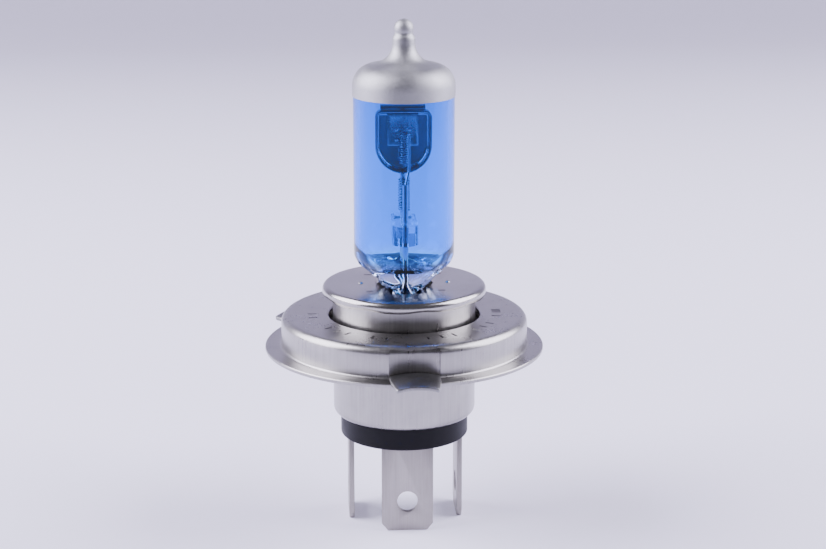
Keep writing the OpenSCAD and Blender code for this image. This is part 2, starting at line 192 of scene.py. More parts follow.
def cut_plate(name: str, outline: Sequence[Point2], y: float, thickness: float) -> Piece:
    """Cuts a flat plate that stands across the Y axis.

    Args:
        name: Name of the new piece.
        outline: X and Z of each corner, in millimetres.
        y: Front face of the plate, in millimetres.
        thickness: Thickness towards the back, in millimetres.

    Returns:
        The plate, in object mode.
    """
    corners = [Vector((x, y, z)) * MM for x, z in outline]
    piece = draw_chain(name, corners + corners[:1])
    bpy.ops.mesh.remove_doubles(threshold=WELD)
    select_everything()
    bpy.ops.mesh.edge_face_add()
    pull(Vector((0, thickness, 0)) * MM)
    tidy_shell()
    return piece


def pick_faces(piece: Piece, test: Callable[[Vector, Vector], bool]) -> None:
    """Selects the faces that pass a test, and nothing else, in edit mode.

    Args:
        piece: The piece that is being edited.
        test: Takes a face's centre in millimetres and its normal.
    """
    enter("OBJECT")
    mesh = piece.data
    for item in (*mesh.vertices, *mesh.edges):
        item.select = False
    for face in mesh.polygons:
        face.select = test(face.center / MM, face.normal)
    enter("EDIT")
    bpy.ops.mesh.select_mode(type="FACE")


def soften_edges(piece: Piece, width: float, segments: int = 2, angle: float = 35) -> None:
    """Rounds a piece's sharp edges.

    Args:
        piece: The piece.
        width: Width of the rounding in millimetres.
        segments: Number of strips across it.
        angle: Edges sharper than this many degrees are rounded.
    """
    take(piece)
    rounding = piece.modifiers.new("rounding", "BEVEL")
    rounding.width = width * MM
    rounding.segments = segments
    rounding.limit_method = "ANGLE"
    rounding.angle_limit = math.radians(angle)
    bpy.ops.object.modifier_apply(modifier=rounding.name)


def smooth(piece: Piece, angle: float = 32) -> None:
    """Shades a piece smooth, apart from edges sharper than an angle in degrees."""
    take(piece)
    bpy.ops.object.shade_smooth_by_angle(angle=math.radians(angle))


def weld_on(piece: Piece, *others: Piece) -> None:
    """Joins other pieces into one piece."""
    take(piece)
    for other in others:
        other.select_set(True)
    bpy.ops.object.join()


def turned_copy(piece: Piece, name: str, degrees: float) -> Piece:
    """Copies a piece with its own mesh, turned round the lamp's axis.

    Args:
        piece: The piece to copy.
        name: Name of the copy.
        degrees: Angle, anticlockwise from above.

    Returns:
        The copy, with its turn in its mesh.
    """
    take(piece)
    bpy.ops.object.duplicate(linked=False)
    copy = bpy.context.object
    copy.name = name
    copy.rotation_euler.z = math.radians(degrees)
    settle()
    return copy


def punch(piece: Piece, punches: Sequence[Piece]) -> None:
    """Cuts the shape of each punch out of a piece, and throws the punches away."""
    for tool in punches:
        take(piece)
        cut = piece.modifiers.new("cut", "BOOLEAN")
        cut.operation = "DIFFERENCE"
        cut.solver = "EXACT"
        cut.object = tool
        bpy.ops.object.modifier_apply(modifier=cut.name)
        bpy.data.objects.remove(tool)


def box_punch(low: Vector, high: Vector) -> Piece:
    """A block between two corners given in millimetres, to cut with."""
    clear_selection()
    bpy.ops.mesh.primitive_cube_add(size=1, location=(low + high) * MM / 2, scale=(high - low) * MM)
    settle()
    return bpy.context.object


def deliver(piece: Piece, finish: "Finish", slot: str, *nodes: str) -> Piece:
    """Dresses a piece, fixes it to the body and logs it.

    Args:
        piece: The finished mesh.
        finish: What it is made of.
        slot: Not used.
        nodes: The CAD nodes that it stands for.

    Returns:
        The same piece.
    """
    piece.data.materials.clear()
    piece.data.materials.append(finish.material())
    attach(piece, BODY)
    if nodes:
        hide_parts(*nodes)
    log.info("%s: %d faces, %s", piece.name, len(piece.data.polygons), finish.name)
    return piece


def dress(node: str, finish: "Finish") -> None:
    """Gives a CAD node its finish."""
    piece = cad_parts[node]
    piece.data.materials.clear()
    piece.data.materials.append(finish.material())
    log.info("%s: kept, %s", node, finish.name)


# ----- finishes


class Grain(Enum):
    """The way that the fine lines of a finish run."""

    UPRIGHT = "up and down"
    SPREAD = "no direction"


class Nodes:
    """A material's node tree, with short ways to add to it."""

    def __init__(self, name: str) -> None:
        """Starts a material with an empty tree."""
        self.stuff = bpy.data.materials.new(name)
        self.stuff.use_nodes = True
        self.tree = self.stuff.node_tree
        self.tree.nodes.clear()
        self.shader = self.add("ShaderNodeBsdfPrincipled")
        self.link(self.shader.outputs["BSDF"], self.add("ShaderNodeOutputMaterial").inputs["Surface"])
        self.place = self.add("ShaderNodeTexCoord").outputs["Object"]

    def add(self, kind: str, **settings: object) -> bpy.types.Node:
        """Adds a node and sets its properties."""
        node = self.tree.nodes.new(kind)
        for key, value in settings.items():
            setattr(node, key, value)
        return node

    def link(self, source: Socket, target: Socket) -> None:
        """Links an output socket to an input socket."""
        self.tree.links.new(source, target)

    def math(self, operation: str, first: object, second: object = None) -> Socket:
        """Adds a sum.

        Args:
            operation: Blender's name for it.
            first: A socket or a number.
            second: A socket, a number or None.

        Returns:
            The result's socket.
        """
        node = self.add("ShaderNodeMath", operation=operation)
        for slot, value in zip(node.inputs, (first, second)):
            if isinstance(value, Socket):
                self.link(value, slot)
            elif value is not None:
                slot.default_value = value
        return node.outputs[0]

    def lines(self, grain: Grain, per_mm: float) -> Socket:
        """Coordinates that are stretched along a grain.

        Args:
            grain: The way the lines run.
            per_mm: About how many lines there are to a millimetre.

        Returns:
            The vector's socket.
        """
        split = self.add("ShaderNodeSeparateXYZ")
        self.link(self.place, split.inputs[0])
        x, y, z = split.outputs
        tight = per_mm / MM
        joined = self.add("ShaderNodeCombineXYZ")
        tall = tight * UPRIGHT_STRETCH if grain is Grain.UPRIGHT else tight
        for slot, part, scale in zip(joined.inputs, (x, y, z), (tight, tight, tall)):
            self.link(self.math("MULTIPLY", part, scale), slot)
        return joined.outputs[0]

    def noise(self, vector: Socket, scale: float = 1, detail: float = 3) -> Socket:
        """Adds a noise texture and returns its value."""
        node = self.add("ShaderNodeTexNoise")
        node.inputs["Scale"].default_value = scale
        node.inputs["Detail"].default_value = detail
        self.link(vector, node.inputs["Vector"])
        return node.outputs["Fac"]

    def spread(self, value: Socket, low: float, high: float) -> Socket:
        """Stretches the middle of a noise's range to run from low to high."""
        node = self.add("ShaderNodeMapRange")
        self.link(value, node.inputs["Value"])
        ends = (*NOISE_MIDDLE, low, high)
        for key, number in zip(("From Min", "From Max", "To Min", "To Max"), ends):
            node.inputs[key].default_value = number
        return node.outputs["Result"]

    def ramp(self, value: Socket, start: float, end: float) -> Socket:
        """Turns a value that runs from start to end into a smooth 0 to 1."""
        node = self.add("ShaderNodeMapRange", interpolation_type="SMOOTHSTEP")
        self.link(value, node.inputs["Value"])
        node.inputs["From Min"].default_value = start
        node.inputs["From Max"].default_value = end
        return node.outputs["Result"]

    def blend(self, value: Socket, first: object, second: object) -> Socket:
        """Mixes two colours.

        Args:
            value: 0 for the first, 1 for the second.
            first: A colour, or a socket that carries one.
            second: A colour, or a socket that carries one.

        Returns:
            The mixed colour's socket.
        """
        node = self.add("ShaderNodeMix", data_type="RGBA")
        self.link(value, node.inputs["Factor"])
        slots = [slot for slot in node.inputs if slot.type == "RGBA"]
        for slot, colour in zip(slots, (first, second)):
            if isinstance(colour, Socket):
                self.link(colour, slot)
            else:
                slot.default_value = (*colour, 1)
        return next(out for out in node.outputs if out.type == "RGBA")

    def tint(self, value: Socket, dark: Colour, light: Colour) -> None:
        """Colours the shader between two colours by a value from 0 to 1."""
        self.link(self.blend(value, dark, light), self.shader.inputs["Base Color"])

    def bump(self, value: Socket, strength: float, depth: float) -> None:
        """Raises the surface by a value, with a depth in millimetres."""
        node = self.add("ShaderNodeBump")
        node.inputs["Strength"].default_value = strength
        node.inputs["Distance"].default_value = depth * MM
        self.link(value, node.inputs["Height"])
        self.link(node.outputs["Normal"], self.shader.inputs["Normal"])

    def set(self, **values: float) -> None:
        """Sets the shader's own sockets; an underscore in a name stands for a space."""
        for key, value in values.items():
            self.shader.inputs[key.replace("_", " ")].default_value = value


class Finish:
    """A finish that makes its material once."""

    name: str
    made: dict[str, bpy.types.Material] = {}

    def material(self) -> bpy.types.Material:
        """The finish's material."""
        if self.name not in Finish.made:
            nodes = Nodes(self.name)
            self.mix(nodes)
            Finish.made[self.name] = nodes.stuff
        return Finish.made[self.name]

    def mix(self, nodes: Nodes) -> None:
        """Lays out the finish's nodes."""
        raise NotImplementedError


@dataclass(frozen=True)
class Sheen(Finish):
    """Bare or plated metal, with fine lines and faint clouds."""

    name: str
    dark: Colour
    light: Colour
    rough: float
    grain: Grain = Grain.SPREAD
    per_mm: float = 6.0
    relief: float = 0.12
    cloud_scale: float = 240
    line_share: float = 0.45
    rough_range: Point2 = (0.8, 1.25)
    relief_mm: float = 0.02

    def mix(self, nodes: Nodes) -> None:
        """Lays out the metal's nodes."""
        lines = nodes.noise(nodes.lines(self.grain, self.per_mm))
        clouds = nodes.noise(nodes.place, scale=self.cloud_scale, detail=4)
        drawn = nodes.math("MULTIPLY", lines, self.line_share)
        both = nodes.math("ADD", drawn, nodes.math("MULTIPLY", clouds, 1 - self.line_share))
        nodes.tint(nodes.spread(both, 0, 1), self.dark, self.light)
        rough = nodes.spread(both, *(self.rough * share for share in self.rough_range))
        nodes.link(rough, nodes.shader.inputs["Roughness"])
        nodes.bump(lines, self.relief, self.relief_mm)
        nodes.set(Metallic=1.0)


@dataclass(frozen=True)
class Quartz(Finish):
    """Clear or tinted quartz glass with very faint waves.

    The tint may fade low down to a clear colour, where the blue coat ends, and a faint painted glow, emitted by
    glass that is no lamp, may lift what is dark behind it. For the blue quartz that clear colour is dimmed to a
    grey-blue, painted shade for the dark refractions in the clear closing end.
    """

    name: str
    tint: Colour
    wave: float = 0.05
    glow: float = 0.0
    fade: Point2 = (-0.1, -0.09)
    clear: Colour = (0.93, 0.95, 1.0)
    ior: float = 1.46
    glow_colour: Colour = (0.0, 0.0, 0.0)
    wave_scale: float = 120
    wave_mm: float = 0.05
    deeper: float = 0.96

    def mix(self, nodes: Nodes) -> None:
        """Lays out the glass's nodes."""
        waves = nodes.noise(nodes.place, scale=self.wave_scale, detail=1)
        split = nodes.add("ShaderNodeSeparateXYZ")
        nodes.link(nodes.place, split.inputs[0])
        height = nodes.ramp(split.outputs["Z"], *self.fade)
        deep = tuple(part * self.deeper for part in self.tint)
        tinted = nodes.blend(nodes.spread(waves, 0, 1), deep, self.tint)
        # Low down the colour fades to the clear colour; a dimmed clear colour is painted shade.
        nodes.link(nodes.blend(height, self.clear, tinted), nodes.shader.inputs["Base Color"])
        nodes.bump(waves, self.wave, self.wave_mm)
        nodes.set(Roughness=0.0, IOR=self.ior, Transmission_Weight=1.0)
        nodes.shader.inputs["Specular Tint"].default_value = (*self.tint, 1)
        # Painted light: the glow is emission from glass that is no lamp.
        if self.glow:
            lit = nodes.blend(height, (0, 0, 0), self.glow_colour)
            nodes.link(lit, nodes.shader.inputs["Emission Color"])
            nodes.set(Emission_Strength=self.glow)


@dataclass(frozen=True)
class Moulding(Finish):
    """Moulded insulating plastic with a fine grain."""

    name: str
    dark: Colour
    light: Colour
    rough: float
    grain_scale: float = 5200
    cloud_scale: float = 300
    rough_range: Point2 = (0.85, 1.15)

    def mix(self, nodes: Nodes) -> None:
        """Lays out the plastic's nodes."""
        grains = nodes.noise(nodes.place, scale=self.grain_scale, detail=4)
        clouds = nodes.noise(nodes.place, scale=self.cloud_scale)
        nodes.tint(nodes.spread(clouds, 0, 1), self.dark, self.light)
        rough = nodes.spread(clouds, *(self.rough * share for share in self.rough_range))
        nodes.link(rough, nodes.shader.inputs["Roughness"])
        nodes.bump(grains, 0.2, 0.03)
        nodes.set(IOR=1.5, Specular_IOR_Level=0.15)


@dataclass(frozen=True)
class Paper(Finish):
    """The pale surface that the bulb stands on, with painted shade: darker far behind the bulb, and a dark painted
    band far in front that the metal parts reflect.
    """

    name: str
    near: Colour
    far: Colour
    front_shade_colour: Colour
    back_shade_span: Point2 = (0.12, 0.62)
    front_shade_span: Point2 = (-0.12, -0.2)

    def mix(self, nodes: Nodes) -> None:
        """Lays out the paper's nodes."""
        split = nodes.add("ShaderNodeSeparateXYZ")
        nodes.link(nodes.place, split.inputs[0])
        # Painted shade: the paper darkens to the far colour behind the bulb.
        back = nodes.blend(nodes.ramp(split.outputs["Y"], *self.back_shade_span), self.near, self.far)
        # Painted shade: a dark band far in front, for the metal to reflect as a dark room.
        front = nodes.blend(nodes.ramp(split.outputs["Y"], *self.front_shade_span), back, self.front_shade_colour)
        nodes.link(front, nodes.shader.inputs["Base Color"])
        nodes.set(Roughness=0.9)


# The blue coat ends low down; the grey-blue clear colour there is dimmed as painted shade, and the glow is painted
# light.
BLUE_QUARTZ = Quartz("blue_quartz", (0.003, 0.19, 1.0), glow=0.05, fade=(0.0105, 0.0145),
                     clear=(0.55, 0.62, 0.8), ior=1.4, glow_colour=(0.5, 0.55, 0.7))
INNER_QUARTZ = Quartz("inner_quartz", (0.97, 0.98, 1.0), wave=0.02, ior=1.4)
CLEAR_QUARTZ = Quartz("clear_quartz", (0.93, 0.96, 1.0), wave=0.1, ior=1.2)
SILVERING = Sheen("silver_coating", (0.34, 0.34, 0.35), (0.45, 0.45, 0.46), 0.52, relief=0.1, per_mm=3)
TUNGSTEN = Sheen("tungsten", (0.2, 0.21, 0.24), (0.4, 0.41, 0.45), 0.35)
MOLYBDENUM = Sheen("molybdenum", (0.36, 0.37, 0.4), (0.5, 0.51, 0.54), 0.1, per_mm=4, relief=0.03)
BRIGHT_MOLYBDENUM = Sheen("molybdenum_bright", (0.5, 0.52, 0.56), (0.7, 0.72, 0.76), 0.25, per_mm=4, relief=0.03)
TUBE_STEEL = Sheen("plated_steel_turned", (0.3, 0.29, 0.28), (0.44, 0.43, 0.415), 0.3, Grain.UPRIGHT, 3, 0.03)
RING_STEEL = Sheen("plated_steel_ring", (0.3, 0.29, 0.28), (0.43, 0.42, 0.405), 0.3, Grain.UPRIGHT, 3, relief=0.03)
DISC_STEEL = Sheen("plated_steel_disc", (0.28, 0.27, 0.26), (0.48, 0.47, 0.45), 0.22, relief=0.05)
BLADE_METAL = Sheen("blade_metal", (0.3, 0.28, 0.265), (0.42, 0.4, 0.375), 0.4, Grain.UPRIGHT, 6)
INSULATOR = Moulding("black_insulator", (0.002, 0.002, 0.003), (0.005, 0.005, 0.006), 0.45)
# Painted shade: a darker copy of the ring's steel for the lugs and the flange's outer edge, standing for their
# shade and dark reflections.
SHADED_LUG_STEEL = Sheen("plated_steel_lug_painted_shade", (0.16, 0.16, 0.16), (0.32, 0.315, 0.31), 0.34, per_mm=5, relief=0.1)
# Painted shade: near-black floors for the stamped ticks, standing for the shade in the recesses.
TICK_FLOOR_SHADE = Sheen("tick_floor_painted_shade", (0.02, 0.02, 0.02), (0.06, 0.06, 0.06), 0.5)
# The far and front colours are painted shade, not the paper's own tone.
PAPER = Paper("pale_paper", (0.86, 0.84, 0.99), (0.42, 0.4, 0.5), (0.1, 0.1, 0.12))


# ----- the bulb's parts


@dataclass
class QuartzBulb:
    """The quartz tube with its tip, its hollow and the flat closing end, and the silver on its dome."""

    tube_r: float = 7.7
    wall: float = 0.9
    shoulder_z: float = 40.3
    shoulder_r: float = 3.1
    neck_r: float = 1.65
    tip_r: float = 1.4
    flare_r: float = 3.1
    close_z: float = 14.9
    close_r: float = 3.0
    close_depth: float = 6.0
    floor_z: float = 12.6
    floor_r: float = 4.6
    seal_half_w: float = 6.0
    seal_half_t: float = 1.6
    silver_t: float = 0.08
    silver_gap: float = 0.01
    ripple_depth: float = 0.2
    dome_turn: float = 84
    flare_gap: float = 0.15
    neck_drop: Point2 = (1.47, 0.97)
    close_bend: float = 48
    close_edge: float = 0.4
    close_out: float = 0.06
    close_step: float = 0.6
    roof_drop: float = 0.2
    roof_flat: Point2 = (0.9, 0.4)
    roof_top: float = 0.9

    def dome(self, grow: float) -> list[Point2]:
        """Outline from the shoulder to the tip's top.

        Args:
            grow: How far it is moved outwards.

        Returns:
            Radius and height of each point.
        """
        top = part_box("glass_envelope")[1].z / MM
        flat = self.shoulder_z + self.shoulder_r
        flare_z = flat + self.flare_r + self.flare_gap
        neck_z = top - self.neck_drop[0] * self.tip_r - self.neck_drop[1]
        edge = self.tube_r - self.shoulder_r
        points = arc(edge, self.shoulder_z, self.shoulder_r + grow, 0, self.dome_turn, 14)
        points += arc(self.neck_r + self.flare_r, flare_z, self.flare_r - grow, 250, 180, 14)
        points += arc(self.neck_r - 1, neck_z, 1 + grow, 0, 44, 6)
        points += arc(0, top - self.tip_r, self.tip_r + grow, -22, 90, 14)
        return points

    def half_width(self, z: float) -> Point2:
        """Half widths of the closing end, side to side and front to back, at a height."""
        drop = self.close_z - z
        bend = math.radians(self.close_bend)
        reach = self.close_r * math.sin(bend)
        centre = self.tube_r + self.close_out - self.close_r
        if drop < reach:
            side = centre + math.sqrt(self.close_r ** 2 - drop ** 2)
        else:
            edge = centre + self.close_r * math.cos(bend)
            run = (drop - reach) / (self.close_depth + self.close_edge - reach)
            side = edge + (self.seal_half_t - edge) * min(run, 1)
        step = max(0.0, 1 - drop / self.close_depth)
        front = self.seal_half_w + (self.tube_r - self.seal_half_w) * (1 - math.cos(math.pi * step)) / 2
        return min(side, self.tube_r), front

    def build_outside(self) -> Piece:
        """Turns the tube and dome, then draws the lower end in to the flat seal."""
        piece = turn_on_lathe("quartz_body", [(self.tube_r, self.close_z)] + self.dome(0))
        enter("EDIT")
        bpy.ops.mesh.select_all(action="DESELECT")
        bpy.ops.mesh.select_mode(type="VERT")
        enter("OBJECT")
        for vertex in piece.data.vertices:
            vertex.select = vertex.co.z < (self.close_z + 0.01) * MM
        enter("EDIT")
        bpy.ops.mesh.select_mode(type="EDGE")
        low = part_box("glass_envelope")[0].z / MM
        count = round(self.close_depth / self.close_step)
        stops = [self.close_z - self.close_step * i for i in range(1, count + 1)]
        stops += [self.close_z - self.close_depth - self.close_edge, (low + 8) / 2, low]
        here, old = self.close_z, (self.tube_r, self.tube_r)
        for stop in stops:
            new = self.half_width(stop)
            pull(Vector((0, 0, stop - here)) * MM)
            bpy.ops.transform.resize(value=(new[0] / old[0], new[1] / old[1], 1), center_override=(0, 0, stop * MM))
            here, old = stop, new
        bpy.ops.mesh.edge_face_add()
        tidy_shell()
        return piece

    def build_hollow(self) -> Piece:
        """Turns the wall of the sealed space, which faces inwards."""
        inner = self.tube_r - self.wall
        roof_r = self.shoulder_r - self.wall * 0.6
        section = [(0, self.floor_z)]
        section += arc(inner - self.floor_r, self.floor_z + self.floor_r - 1, self.floor_r, -50, 0)
        section += arc(inner - roof_r, self.shoulder_z - self.roof_drop, roof_r, 0, self.dome_turn)
        flat = self.shoulder_z + self.shoulder_r
        reach, rise = self.roof_flat
        section += [(reach, flat - self.wall + rise), (0, flat + self.roof_top)]
        return turn_on_lathe("hollow", section, inside=True)

    def ripple(self, body: Piece) -> None:
        """Gives the closing end and the hollow's floor the uneven, hand-pressed waves of worked quartz."""
        low, high = self.close_z - self.close_depth - self.close_edge, self.close_z - 2 * self.close_step
        for vertex in body.data.vertices:
            at = vertex.co / MM
            share = min(1.0, (high - at.z) / 1.5)
            if at.z < low or share < 0 or at.xy.length < 0.6:
                continue
            turn = math.atan2(at.y, at.x)
            wave = math.sin(5 * turn + 1.1 * at.z) + 0.7 * math.sin(9 * turn - 2.3 * at.z + 1)
            push = self.ripple_depth * share * wave
            vertex.co.xy *= 1 + push / at.xy.length
            vertex.co.z += 0.4 * push * MM

    def clear_inside(self, body: Piece) -> None:
        """Leaves the hollow's wall without tint, as the tint is a coat on the outside.

        Args:
            body: The quartz, with its finish on.
        """
        body.data.materials.append(INNER_QUARTZ.material())
        middle = Vector((0, 0, (self.floor_z + self.shoulder_z) / 2)) * MM
        low, high = (self.floor_z - 1) * MM, (self.shoulder_z + self.shoulder_r + 1) * MM
        for face in body.data.polygons:
            if low < face.center.z < high and face.normal.dot(face.center - middle) < 0:
                face.material_index = 1

    def build(self) -> None:
        """Builds the quartz and its silver."""
        body = self.build_outside()
        weld_on(body, self.build_hollow())
        self.ripple(body)
        smooth(body, 50)
        deliver(body, BLUE_QUARTZ, "blue_quartz", "glass_envelope")
        self.clear_inside(body)
        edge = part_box("dome_coating")[0].z / MM
        section = [(self.tube_r + self.silver_gap, edge), (self.tube_r + self.silver_t, edge + 0.05)]
        section += self.dome(self.silver_t) + self.dome(self.silver_gap)[::-1]
        silver = turn_on_lathe("silvered_dome", section + section[:1])
        smooth(silver, 50)
        deliver(silver, SILVERING, "silver_coating", "dome_coating")


@dataclass
class Coil:
    """One wound filament with a straight tail."""

    name: str
    node: str
    coil_d: float
    wire_d: float
    turns: int
    y: float
    tail_at_top: bool

    def wire_end(self, place: Vector) -> Piece:
        """A disc across the wire, left selected in edit mode.

        Args:
            place: Its centre in millimetres.

        Returns:
            The new piece.
        """
        clear_selection()
        bpy.ops.mesh.primitive_circle_add(vertices=10, radius=self.wire_d * MM / 2, fill_type="NGON",
                                          location=place * MM, rotation=(math.pi / 2, 0, 0))
        settle()
        enter("EDIT")
        select_everything()
        return bpy.context.object

    def build(self) -> None:
        """Winds the coil in the space that its CAD solid holds, and adds its tail."""
        low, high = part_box(self.node)
        reach = self.coil_d / 2 - self.wire_d / 2
        start = low.z / MM + self.wire_d / 2
        length = (high.z - low.z) / MM - self.wire_d
        coil = self.wire_end(Vector((reach, 0, start)))
        coil.name = self.name
        bpy.ops.mesh.delete(type="ONLY_FACE")
        enter("OBJECT")
        winding = coil.modifiers.new("winding", "SCREW")
        winding.axis = "Z"
        winding.angle = math.tau
        winding.screw_offset = length * MM / self.turns
        winding.iterations = self.turns
        winding.steps = winding.render_steps = 20
        winding.use_merge_vertices = False
        bpy.ops.object.modifier_apply(modifier=winding.name)
        enter("EDIT")
        select_everything()
        bpy.ops.mesh.fill_holes(sides=12)
        select_everything()
        bpy.ops.transform.translate(value=(0, self.y * MM, 0))
        tidy_shell()
        level = start + length if self.tail_at_top else start
        weld_on(coil, self.tail(level, high.y / MM))
        smooth(coil, 60)
        deliver(coil, TUNGSTEN, "tungsten", self.node)

    def tail(self, level: float, end_y: float) -> Piece:
        """The straight end of the wire, from the coil back to its support.

        Args:
            level: Its height.
            end_y: Where it ends.

        Returns:
            The tail's mesh.
        """
        start_y = self.y + self.coil_d / 2 - self.wire_d
        tail = self.wire_end(Vector((0, start_y, level)))
        pull(Vector((0, end_y - start_y, 0)) * MM)
        tidy_shell()
        return tail


@dataclass
class BeamShield:
    """The pressed dish round the upper coil, with the panel welded into it."""

    corner_r: float = 1.0
    lip: float = 0.25
    floor_y: float = 2.7
    round_in: float = 0.65
    panel_w: float = 4.8
    panel_h: float = 4.9
    panel_drop: float = 0.7
    weld_r: float = 0.32
    weld_flat: float = 0.45
    weld_up: float = 0.9
    panel_t: float = 0.22
    panel_rim: float = 0.5
    panel_sink: float = 0.12
    bend_steps: int = 6
    weld_x: float = 1.0
    weld_gap: float = 1.6

    def build(self) -> None:
        """Presses the dish and welds the panel in."""
        low, high = (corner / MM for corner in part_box("beam_shield"))
        half = (high.x - low.x) / 2
        round_z = low.z + half
        side = half - self.corner_r
        top = high.z - self.corner_r
        outline = arc(0, round_z, half, 180, 360, 36)
        outline += arc(side, top, self.corner_r, 0, 90, 8) + arc(-side, top, self.corner_r, 90, 180, 8)
        dish = cut_plate("beam_shield_dish", outline, low.y, high.y - low.y)
        enter("EDIT")
        pick_faces(dish, lambda at, normal: normal.y < -0.9)
        bpy.ops.mesh.inset(thickness=self.lip * MM)
        wall = self.floor_y - self.round_in - low.y
        pull(Vector((0, wall, 0)) * MM)
        turns = [math.pi / 2 * i / self.bend_steps for i in range(self.bend_steps + 1)]
        for last, turn in zip(turns, turns[1:]):
            shrink = self.round_in * (math.cos(last) - math.cos(turn))
            sink = self.round_in * (math.sin(turn) - math.sin(last))
            bpy.ops.mesh.inset(thickness=shrink * MM)
            bpy.ops.transform.translate(value=(0, sink * MM, 0))
        tidy_shell()
        soften_edges(dish, 0.07, 2, 50)
        smooth(dish, 40)
        deliver(dish, MOLYBDENUM, "molybdenum", "beam_shield")
        self.build_panel(high.z)

    def build_panel(self, top: float) -> None:
        """The small welded panel with its four weld spots.

        Args:
            top: Height of the dish's top edge.
        """
        half = self.panel_w / 2
        high = top - self.panel_drop
        low = high - self.panel_h
        outline = [(-half, low), (half, low), (half, high), (-half, high)]
        panel = cut_plate("shield_panel", outline, self.floor_y - self.panel_t, self.panel_t)
        enter("EDIT")
        pick_faces(panel, lambda at, normal: normal.y < -0.9)
        bpy.ops.mesh.inset(thickness=self.panel_rim * MM)
        bpy.ops.transform.translate(value=(0, self.panel_sink * MM, 0))
        tidy_shell()
        soften_edges(panel, 0.06, 2, 20)
        spots = []
        for x in (-self.weld_x, self.weld_x):
            for z in (0, self.weld_gap):
                clear_selection()
                place = Vector((x, self.floor_y - 0.1, low + self.weld_up + z)) * MM
                bpy.ops.mesh.primitive_uv_sphere_add(segments=16, ring_count=8, location=place,
                                                     radius=self.weld_r * MM)
                bpy.context.object.scale.y = self.weld_flat
                settle()
                spots.append(bpy.context.object)
        weld_on(panel, *spots)
        smooth(panel, 40)
        deliver(panel, BRIGHT_MOLYBDENUM, "molybdenum")


